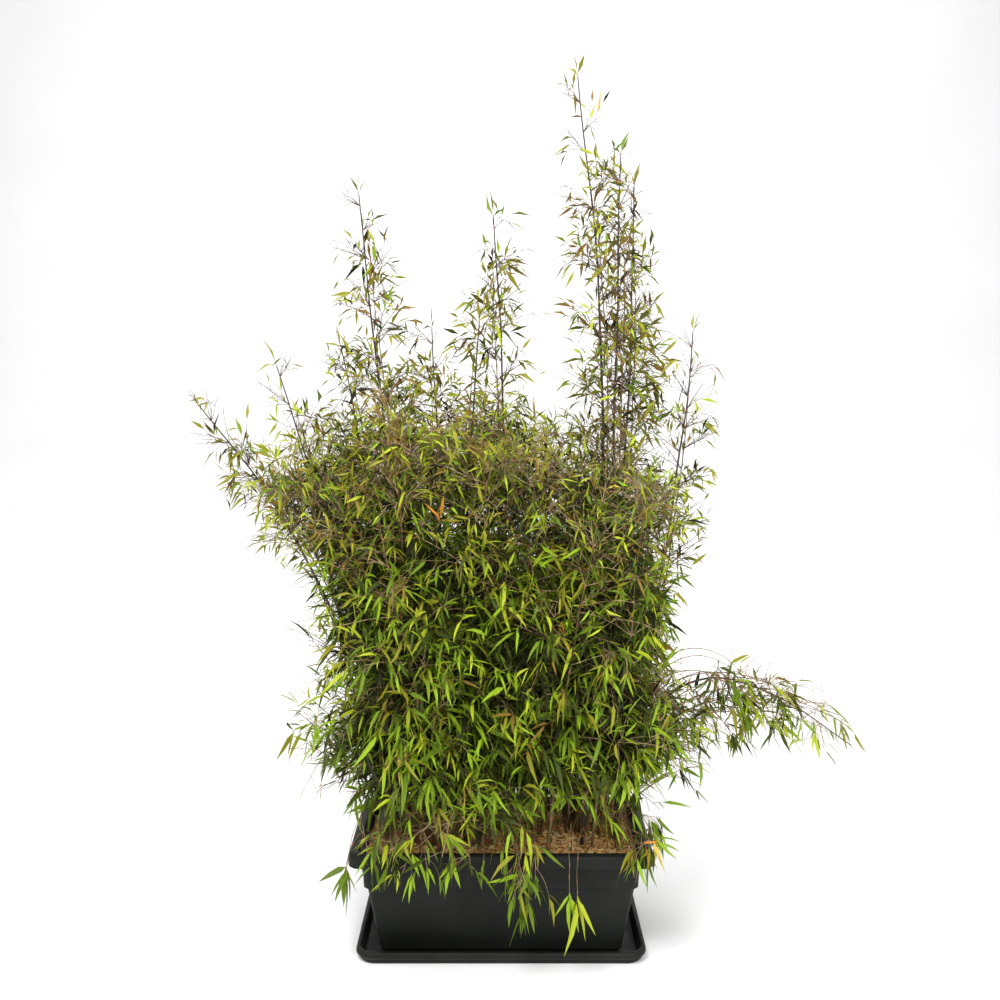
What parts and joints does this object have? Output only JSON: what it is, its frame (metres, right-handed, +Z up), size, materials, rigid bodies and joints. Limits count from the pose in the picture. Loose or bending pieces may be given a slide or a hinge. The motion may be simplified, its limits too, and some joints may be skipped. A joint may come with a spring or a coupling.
{
  "type": "potted bamboo",
  "caption": "Clump of fine-leaved clumping bamboo with upright and arching canes, growing in a rectangular plastic planter on its saucer.",
  "frame": {"origin": "centre of the saucer's flat underside", "axes": "+Z up the canes; +X along the planter, towards the side where one low branch arches far out; -Y the planter's front, which looks at the viewer"},
  "size_m": [1.745, 0.8001, 2.3285],
  "materials": {
    "plastic": "matte",
    "soil": "matte",
    "cane": "satin",
    "leaves": "matte",
    "spire_leaves": "matte"
  },
  "bodies": {
    "root": {"bough_right_inner": "leaves", "bough_right_outer": "leaves", "bough_right_tip": "leaves", "cane_arch_left": "cane", "cane_arch_right": "cane", "cane_arch_right_end": "cane", "cane_centre_left": "cane", "cane_inner_shoulder": "cane", "cane_left": "cane", "cane_middle": "cane", "cane_right": "cane", "cane_second": "cane", "cane_shoulder": "cane", "cane_tall": "cane", "cane_third": "cane", "cane_topped": "cane", "drape_left": "leaves", "drape_middle": "leaves", "drape_right": "leaves", "leaves_crown_back_1": "leaves", "leaves_crown_back_2": "leaves", "leaves_crown_back_3": "leaves", "leaves_crown_front_1": "leaves", "leaves_crown_front_2": "leaves", "leaves_crown_front_3": "leaves", "leaves_crown_front_4": "leaves", "leaves_low_back_1": "leaves", "leaves_low_back_2": "leaves", "leaves_low_front_1": "leaves", "leaves_low_front_2": "leaves", "leaves_low_front_3": "leaves", "leaves_side_left": "leaves", "leaves_side_right": "leaves", "leaves_waist_back_1": "leaves", "leaves_waist_back_2": "leaves", "leaves_waist_back_3": "leaves", "leaves_waist_front_1": "leaves", "leaves_waist_front_2": "leaves", "leaves_waist_front_3": "leaves", "leaves_waist_front_4": "leaves", "planter": "plastic", "plume_arch_left": "spire_leaves", "plume_centre_left": "spire_leaves", "plume_inner_shoulder": "spire_leaves", "plume_left": "spire_leaves", "plume_middle": "spire_leaves", "plume_right": "spire_leaves", "plume_second": "spire_leaves", "plume_shoulder": "spire_leaves", "plume_tall": "spire_leaves", "plume_third": "spire_leaves", "plume_topped": "spire_leaves", "saucer": "plastic", "soil": "soil", "spray_front": "leaves", "spray_front_right": "leaves", "spray_left": "leaves", "stub_back": "cane", "stub_front_left": "cane", "stub_front_right": "cane"}
  },
  "joints": []
}
